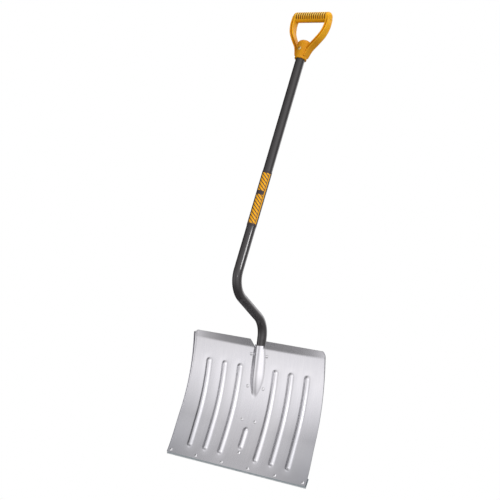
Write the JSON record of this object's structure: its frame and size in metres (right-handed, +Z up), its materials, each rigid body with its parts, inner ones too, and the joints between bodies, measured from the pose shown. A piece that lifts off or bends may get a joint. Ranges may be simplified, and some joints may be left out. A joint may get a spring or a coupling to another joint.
{
  "type": "snow shovel",
  "caption": "Snow shovel with a ribbed, curved aluminium scoop, a riveted steel wear strip, a cranked steel tube shaft and a D-shaped plastic grip.",
  "frame": {"origin": "middle of the wear strip's flat bottom face, the scoop's working edge", "axes": "+Z up along the straight part of the shaft, towards the grip; +X across the scoop; the scoop's hollow side faces -Y"},
  "size_m": [0.457, 0.2756, 1.2425],
  "materials": {
    "scoop_aluminium": "satin mill finish",
    "galvanised_steel": "galvanised",
    "rivet_aluminium": "bright",
    "plated_steel": "zinc plated",
    "charcoal_paint": "semi-gloss powder coat",
    "amber_plastic": "moulded, semi-gloss",
    "label_film": "printed",
    "screw_steel": "plated"
  },
  "bodies": {
    "root": {"scoop_blade": "scoop_aluminium", "wear_strip": "galvanised_steel", "strip_rivet_1": "rivet_aluminium", "strip_rivet_2": "rivet_aluminium", "strip_rivet_3": "rivet_aluminium", "strip_rivet_4": "rivet_aluminium", "strip_rivet_5": "rivet_aluminium", "strip_rivet_6": "rivet_aluminium", "socket_plate": "plated_steel", "plate_rivet_1": "rivet_aluminium", "plate_rivet_2": "rivet_aluminium", "plate_rivet_3": "rivet_aluminium", "plate_rivet_4": "rivet_aluminium", "plate_rivet_5": "rivet_aluminium", "plate_rivet_6": "rivet_aluminium", "plate_rivet_7": "rivet_aluminium", "socket_screw": "screw_steel", "shaft_tube": "charcoal_paint", "shaft_label": "label_film", "d_grip": "amber_plastic", "grip_screw": "screw_steel"}
  },
  "joints": []
}
